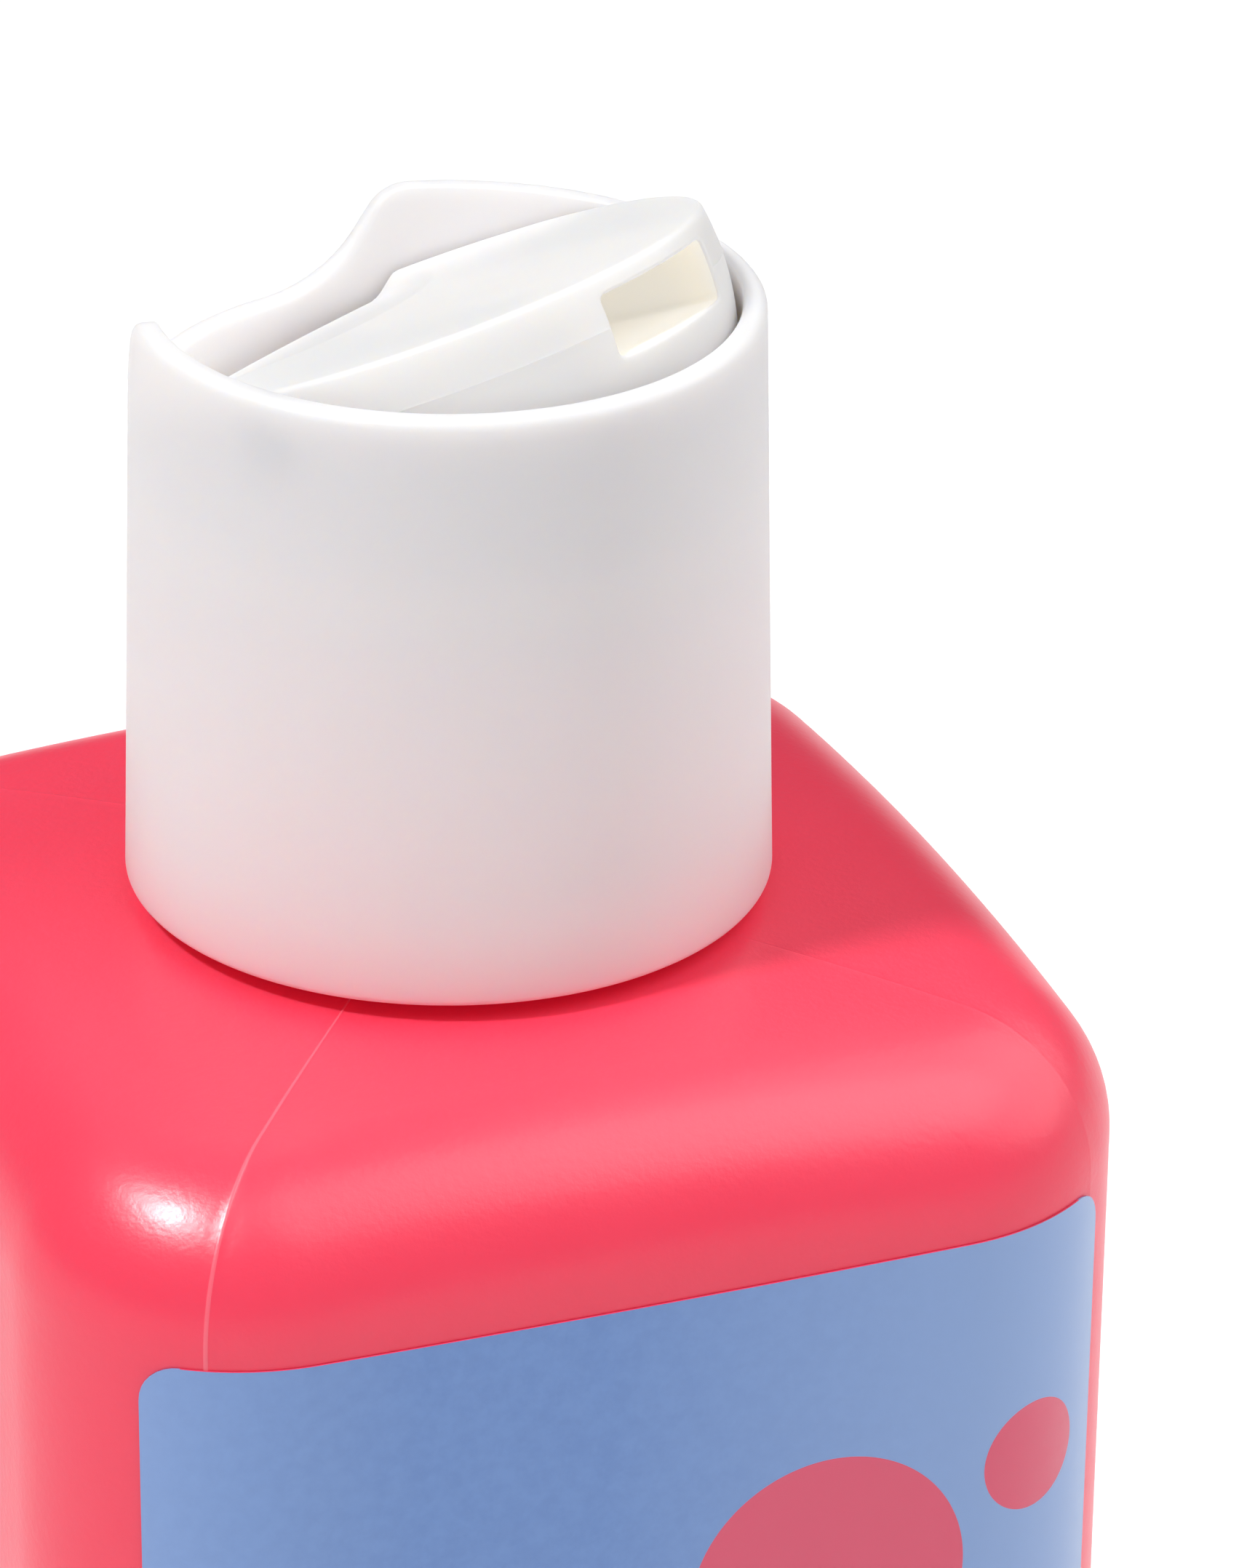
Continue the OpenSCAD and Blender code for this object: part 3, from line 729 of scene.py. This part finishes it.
# Disc. The rocker of the closure, moulded in the same white: a thin face with a finger dish, a side
# wall that is part of a ball, the outlet with its channel, a barrel that seals in the seat, and two
# pivot pins. The mould leaves a fine parting line round the ball's widest circle.
BALL_R, DISC_ROUND, FACE_T, SIDE_LOW, DISC_GAP = 12.18, 0.3, 1.1, 4.0, 0.15
DISH_R, DISH_START, DISH_D, DISH_SLOPE, DISH_ROUND = 8.7, 2.05, 1.3, math.radians(45), 0.6
DISH_FOOT_BLEND, DISH_EDGE_BLEND = 0.3, 0.08
FLOOR_FALL = DISH_D / (BALL_R - DISH_START)
PARTING_H, PARTING_HALF, OUTLET_ROUND, OUTLET_CORNER, OUTLET_STRAIGHT = 0.03, 0.045, 0.15, 0.3, 9.0
PIVOT_H = PIVOT_Z - DECK_TOP_Z
HOLLOW_R = math.sqrt(BALL_R ** 2 - SIDE_LOW ** 2) - SIDE_T


def soft_min(a, b, k):
    """The smaller of two values, with the bend from one to the other rounded over k."""
    share = np.clip(0.5 + 0.5 * (b - a) / k, 0, 1)
    return b * (1 - share) + a * share - k * share * (1 - share)


def face_height(x, y):
    """Height of the disc's face over the pivot: level, and let down into the round finger dish."""
    floor = FLOOR_FALL * (-x - DISH_START)
    inward = (DISH_R + DISH_ROUND * math.tan(DISH_SLOPE / 2)
              - np.hypot(x + DISH_START + DISH_R, y))
    rolled = np.clip(inward, 0, DISH_ROUND * math.sin(DISH_SLOPE))
    side = (DISH_ROUND - np.sqrt(DISH_ROUND ** 2 - rolled ** 2)
            + (np.clip(inward, 0, None) - rolled) * math.tan(DISH_SLOPE))
    depth = -soft_min(-soft_min(floor, side, DISH_FOOT_BLEND), 0 * x, DISH_EDGE_BLEND)
    return PIVOT_DROP - depth


def disc_rings(steps=288):
    """Rings from the face's middle, over the edge, down the ball's side and in under the face."""
    turn = np.linspace(0, 2 * math.pi, steps, endpoint=False)
    c, s = np.cos(turn), np.sin(turn)

    def ring(r, z):
        r, z = np.broadcast_to(r, turn.shape), np.broadcast_to(z, turn.shape)
        return np.column_stack([r * c, r * s, z])

    edge_r = np.full(steps, BALL_R - 0.6)
    for _ in range(4):
        edge_z = face_height(edge_r * c, edge_r * s)
        edge_r = np.sqrt(BALL_R ** 2 - (edge_z - DISC_ROUND) ** 2) - DISC_ROUND
    edge_z = face_height(edge_r * c, edge_r * s)
    rings = []
    for share in np.linspace(0, 1, 53)[1:]:
        r = edge_r * share
        rings.append(ring(r, face_height(r * c, r * s)))
    for a in np.radians(np.linspace(0, 90, 8)[1:]):
        rings.append(ring(edge_r + DISC_ROUND * math.sin(a),
                          edge_z - DISC_ROUND * (1 - math.cos(a))))
    start = edge_z - DISC_ROUND
    heights = [start + (2 * PARTING_HALF - start) * k for k in (0.2, 0.4, 0.6, 0.8, 1)]
    heights += [PARTING_HALF, 0.0, -PARTING_HALF]
    heights += list(np.linspace(-2 * PARTING_HALF, -SIDE_LOW, 14))
    for z in heights:
        bulge = PARTING_H * np.clip(1.4 - np.abs(z) / PARTING_HALF, 0, 1)
        rings.append(ring(np.sqrt(BALL_R ** 2 - z ** 2) + bulge, z))
    rings.append(ring(HOLLOW_R, -SIDE_LOW))
    # The face's underside falls away with the dish above it
    for r in np.linspace(HOLLOW_R, 0, 9)[:-1]:
        fall = np.clip(FLOOR_FALL * (-r * c - DISH_START), 0, None)
        rings.append(ring(r, PIVOT_DROP - FACE_T - fall))
    return rings


def prism(name, section, low, high):
    """A closed prism along Y between two places, from its (x, z) section."""
    n = len(section)
    points = [(x, y, z) for y in (low, high) for x, z in section]
    faces = [tuple(range(n)), tuple(range(2 * n - 1, n - 1, -1))]
    faces += [(i, i + n, (i + 1) % n + n, (i + 1) % n) for i in range(n)]
    return make_mesh(name, points, faces)


def outlet_tool():
    """The outlet's core pin: a round-cornered rectangle that flares where it leaves the ball."""
    low, high = PIVOT_DROP - OUTLET_DROP - OUTLET_H, PIVOT_DROP - OUTLET_DROP
    half, r = OUTLET_W / 2, OUTLET_CORNER
    corners = [(half - r, low + r, -90), (half - r, high - r, 0),
               (r - half, high - r, 90), (r - half, low + r, 180)]

    def at_x(x, outline):
        return np.column_stack([np.broadcast_to(x, len(outline)), outline])

    section, outward = [], []
    for k, (y, z, start) in enumerate(corners):
        for a in np.radians(np.linspace(start, start + 90, 6)):
            section.append((y + r * math.cos(a), z + r * math.sin(a)))
            outward.append((math.cos(a), math.sin(a)))
        y2, z2 = corners[(k + 1) % 4][:2]
        n = np.array([math.cos(math.radians(start + 90)), math.sin(math.radians(start + 90))])
        first, last = np.array((y, z)) + r * n, np.array((y2, z2)) + r * n
        for share in np.linspace(0, 1, 14)[1:-1]:
            section.append(tuple(first + (last - first) * share))
            outward.append(tuple(n))
    section, outward = np.array(section), np.array(outward)
    rings = [at_x(-PORT_W, section), at_x(OUTLET_STRAIGHT, section)]
    for t in np.radians((0, 15, 30, 45, 60, 75)):
        edge = section + outward * OUTLET_ROUND * (1 - math.cos(t))
        x = np.sqrt(BALL_R ** 2 - (edge ** 2).sum(axis=1)) - OUTLET_ROUND * (1 - math.sin(t))
        rings.append(at_x(x, edge))
    wide = section + outward * (OUTLET_ROUND * 2)
    rings.append(at_x(np.sqrt(BALL_R ** 2 - (wide ** 2).sum(axis=1)) + 0.1, wide))
    rings.append(at_x(BALL_R + 1, wide))
    middle = (low + high) / 2
    return closed_with_tips("outlet", rings, (-PORT_W, 0, middle), (BALL_R + 1, 0, middle))


disc = closed_with_tips("disc_body", disc_rings(), (0, 0, PIVOT_DROP), (0, 0, PIVOT_DROP - FACE_T))
channel_low = PIVOT_DROP - OUTLET_DROP - OUTLET_H - CHANNEL_WALL
channel = block("channel", (0, -OUTLET_W / 2 - CHANNEL_WALL, channel_low),
                (HOLLOW_R + 0.4, OUTLET_W / 2 + CHANNEL_WALL, PIVOT_DROP - 0.3))
combine(disc, channel, "UNION")
barrel = rod("barrel", BARREL_R, BARREL_L - 2 * SIDE_T - 4 * PIN_CLEAR, 96)
FLAT_TOP = 1.6
over_barrel = block("over_barrel", (-BARREL_R - 1, -BARREL_L, FLAT_TOP),
                    (BARREL_R + 1, BARREL_L, BARREL_R + 1))
combine(barrel, over_barrel, "DIFFERENCE")
combine(disc, barrel, "UNION")
rib_section = [(-HOLLOW_R - 0.3, 0), (0, 0), (0, FLAT_TOP), (-DISH_START, FLAT_TOP),
               (-HOLLOW_R - 0.3, 0.5)]
combine(disc, prism("rib", rib_section, -SIDE_T / 2, SIDE_T / 2), "UNION")
combine(disc, outlet_tool(), "DIFFERENCE")
# Both are cut as the open disc stands: the port upright, and the underside just clear of the deck
port = port_cutter(-BARREL_R - 1, 0)
level = block("level", (-18, -15, -PIVOT_H - 30), (18, 15, -PIVOT_H + DISC_GAP))
for tool in (port, level):
    tool.data.transform(Matrix.Rotation(math.radians(OPEN_TILT), 4, "Y"))
    combine(disc, tool, "DIFFERENCE")
pin_l = PIN_TIP_R - HOLLOW_R
for side in (-1, 1):
    pin = rod("pin", PIN_R, pin_l, 48, 0.2)
    pin.data.transform(Matrix.Translation((0, side * (PIN_TIP_R - pin_l / 2) * MM, 0)))
    combine(disc, pin, "UNION")
weld(disc)
disc.data.shade_smooth()
disc.data.set_sharp_from_angle(angle=math.radians(32))
DISC_WHITE, DISC_WHITE_SHADE = (0.90, 0.885, 0.88), (0.89, 0.875, 0.87)
CHANNEL_PAINTED_GLOW, CHANNEL_PAINTED_GLOW_SHADE = (0.92, 0.885, 0.82), (0.91, 0.875, 0.8)
disc.data.materials.clear()
disc.data.materials.append(
    white_plastic("satin_disc_polypropylene", DISC_WHITE, DISC_WHITE_SHADE, 0.4, 0.48, 1.5))
# Painted glow: inside the channel a cream colour and a faint emission stand in for the light that
# comes through the thin white walls
painted_glow_plastic = white_plastic(
    "painted_glow_channel", CHANNEL_PAINTED_GLOW, CHANNEL_PAINTED_GLOW_SHADE, 0.45, 0.55, 1.5)
painted_glow_shader = painted_glow_plastic.node_tree.nodes["Principled BSDF"]
painted_glow_shader.inputs["Emission Color"].default_value = (1.0, 0.98, 0.96, 1)
painted_glow_shader.inputs["Emission Strength"].default_value = 0.165
disc.data.materials.append(painted_glow_plastic)
# The faces inside the outlet's channel take the painted glow
outlet_mid, slack = PIVOT_DROP - OUTLET_DROP - OUTLET_H / 2, 0.01
for face in disc.data.polygons:
    x, y, z = face.center / MM
    inside = abs(y) < OUTLET_W / 2 + slack and abs(z - outlet_mid) < OUTLET_H / 2 + slack
    between = x > -PORT_W - 0.1 and math.hypot(x, y, z) < BALL_R - OUTLET_ROUND
    face.material_index = int(inside and between)
at_pivot(disc, OPEN_TILT)
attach(disc, "disc")
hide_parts("disc")

# Ground. A wide matt white sheet under the bottle. Seen directly it is lifted to a clean white,
# and it keeps the bottle's shadow.
GROUND_WHITE, GROUND_LIFT = 0.84, 0.3


def seen_directly(nodes, links):
    """1 for the rays that show the sheet itself: straight, in a gloss, and through a film."""
    path = nodes.new("ShaderNodeLightPath")
    both = math_node(nodes, links, "MAXIMUM",
                     path.outputs["Is Camera Ray"], path.outputs["Is Glossy Ray"])
    return math_node(nodes, links, "MAXIMUM", both, path.outputs["Is Transmission Ray"])


def ground_white():
    material, nodes, links, shader, coords = new_material("matt_white_ground")
    fine = noise_node(nodes, links, coords, 40, 3)
    links.new(ramp_node(nodes, links, fine, [(0.3, GROUND_WHITE - 0.01), (0.7, GROUND_WHITE)]),
              shader.inputs["Base Color"])
    shader.inputs["Roughness"].default_value = 0.9
    shader.inputs["Specular IOR Level"].default_value = 0.2
    shader.inputs["Emission Color"].default_value = (1, 1, 1, 1)
    lift = math_node(nodes, links, "MULTIPLY", seen_directly(nodes, links), GROUND_LIFT)
    links.new(lift, shader.inputs["Emission Strength"])
    return material


turn = np.linspace(0, 2 * math.pi, 48, endpoint=False)
sheet_rings = [np.column_stack([r * np.cos(turn), r * np.sin(turn), 0 * turn])
               for r in (1, 50, 300, 1500, 6000)]
ground = make_mesh("ground", np.concatenate(sheet_rings),
                   skin_between(sheet_rings) + [tuple(range(len(turn)))], 80)
ground.data.materials.append(ground_white())

# Light and camera. A lamp high on the left, a wide soft one above, a weak one low on the right and
# a ceiling above dimmer walls, with a long lens from a little above and left of the label.
LENS_MM, SENSOR_MM = 173.30, 36.0
CAMERA_AT = (-98.56, -274.98, 276.14)
HEADING, PITCH_DOWN, ROLL = 21.23, 26.28, 0.603
CEILING, CEILING_GAIN, WALLS, WALLS_DIM, BACK_AZIMUTH = 0.2, 0.87, 0.3, 0.2, 60.0
WALL_TOP, CEILING_EDGE = 29.0, 41.0
LAMP_AIM_Z = 0.14


def light_surround():
    """Even light from all round: walls that are dimmer at the back, and a brighter ceiling."""
    world = bpy.data.worlds.new("surround")
    bpy.context.scene.world = world
    world.use_nodes = True
    nodes, links = world.node_tree.nodes, world.node_tree.links
    split = nodes.new("ShaderNodeSeparateXYZ")
    links.new(nodes.new("ShaderNodeTexCoord").outputs["Generated"], split.inputs[0])
    a = math.radians(BACK_AZIMUTH)
    toward = math_node(nodes, links, "ADD",
                       math_node(nodes, links, "MULTIPLY", split.outputs[0], math.cos(a)),
                       math_node(nodes, links, "MULTIPLY", split.outputs[1], math.sin(a)))
    toward = math_node(nodes, links, "MAXIMUM", toward, 0.0)
    wall = math_node(nodes, links, "SUBTRACT", WALLS,
                     math_node(nodes, links, "MULTIPLY", toward, WALLS_DIM))
    ceiling = math_node(nodes, links, "ADD", CEILING,
                        math_node(nodes, links, "MULTIPLY", toward, CEILING_GAIN))
    rise = nodes.new("ShaderNodeMapRange")
    rise.interpolation_type = "SMOOTHSTEP"
    links.new(split.outputs[2], rise.inputs["Value"])
    rise.inputs["From Min"].default_value = math.sin(math.radians(WALL_TOP))
    rise.inputs["From Max"].default_value = math.sin(math.radians(CEILING_EDGE))
    gain = math_node(nodes, links, "MULTIPLY", math_node(nodes, links, "SUBTRACT", ceiling, wall),
                     rise.outputs["Result"])
    background = nodes["Background"]
    background.inputs["Color"].default_value = (1, 1, 1, 1)
    links.new(math_node(nodes, links, "ADD", wall, gain), background.inputs["Strength"])


light_surround()


def area_lamp(name, azimuth, height, away, size, power):
    """An oval lamp aimed at the top of the bottle: angles in degrees, lengths in metres, watts."""
    lamp = bpy.data.lights.new(name, "AREA")
    lamp.shape, lamp.size, lamp.size_y, lamp.energy = "ELLIPSE", size[0], size[1], power
    holder = bpy.data.objects.new(name, lamp)
    bpy.context.scene.collection.objects.link(holder)
    a, e = math.radians(azimuth), math.radians(height)
    out = Vector((math.cos(e) * math.cos(a), math.cos(e) * math.sin(a), math.sin(e)))
    holder.location = Vector((0, 0, LAMP_AIM_Z)) + out * away
    holder.rotation_euler = out.to_track_quat("Z", "Y").to_euler()
    return holder


area_lamp("key", 188.5, 58.0, 1.6, (0.2, 0.2), 16.0)
area_lamp("soft_above", -48.0, 58.0, 1.6, (1.4, 1.4), 9.4)
area_lamp("soft_right", -5.0, 24.0, 1.6, (1.5, 1.5), 3.2)
# These two are seen in the gloss alone: the key's wide white frame, and a white sheet on the right
area_lamp("key_frame", 188.5, 58.0, 1.62, (1.4, 0.5), 26.0).visible_diffuse = False
area_lamp("sheet_right", -12.0, 42.0, 1.6, (2.3, 2.3), 22.0).visible_diffuse = False

camera_data = bpy.data.cameras.new("camera")
camera_data.lens, camera_data.sensor_width = LENS_MM, SENSOR_MM
camera_data.clip_start, camera_data.clip_end = 0.01, 10
camera = bpy.data.objects.new("camera", camera_data)
bpy.context.scene.collection.objects.link(camera)
camera.matrix_world = (Matrix.Translation([c * MM for c in CAMERA_AT])
                       @ Matrix.Rotation(math.radians(-HEADING), 4, "Z")
                       @ Matrix.Rotation(math.radians(90 - PITCH_DOWN), 4, "X")
                       @ Matrix.Rotation(math.radians(ROLL), 4, "Z"))
bpy.context.scene.camera = camera
bpy.context.scene.view_settings.view_transform = "Standard"
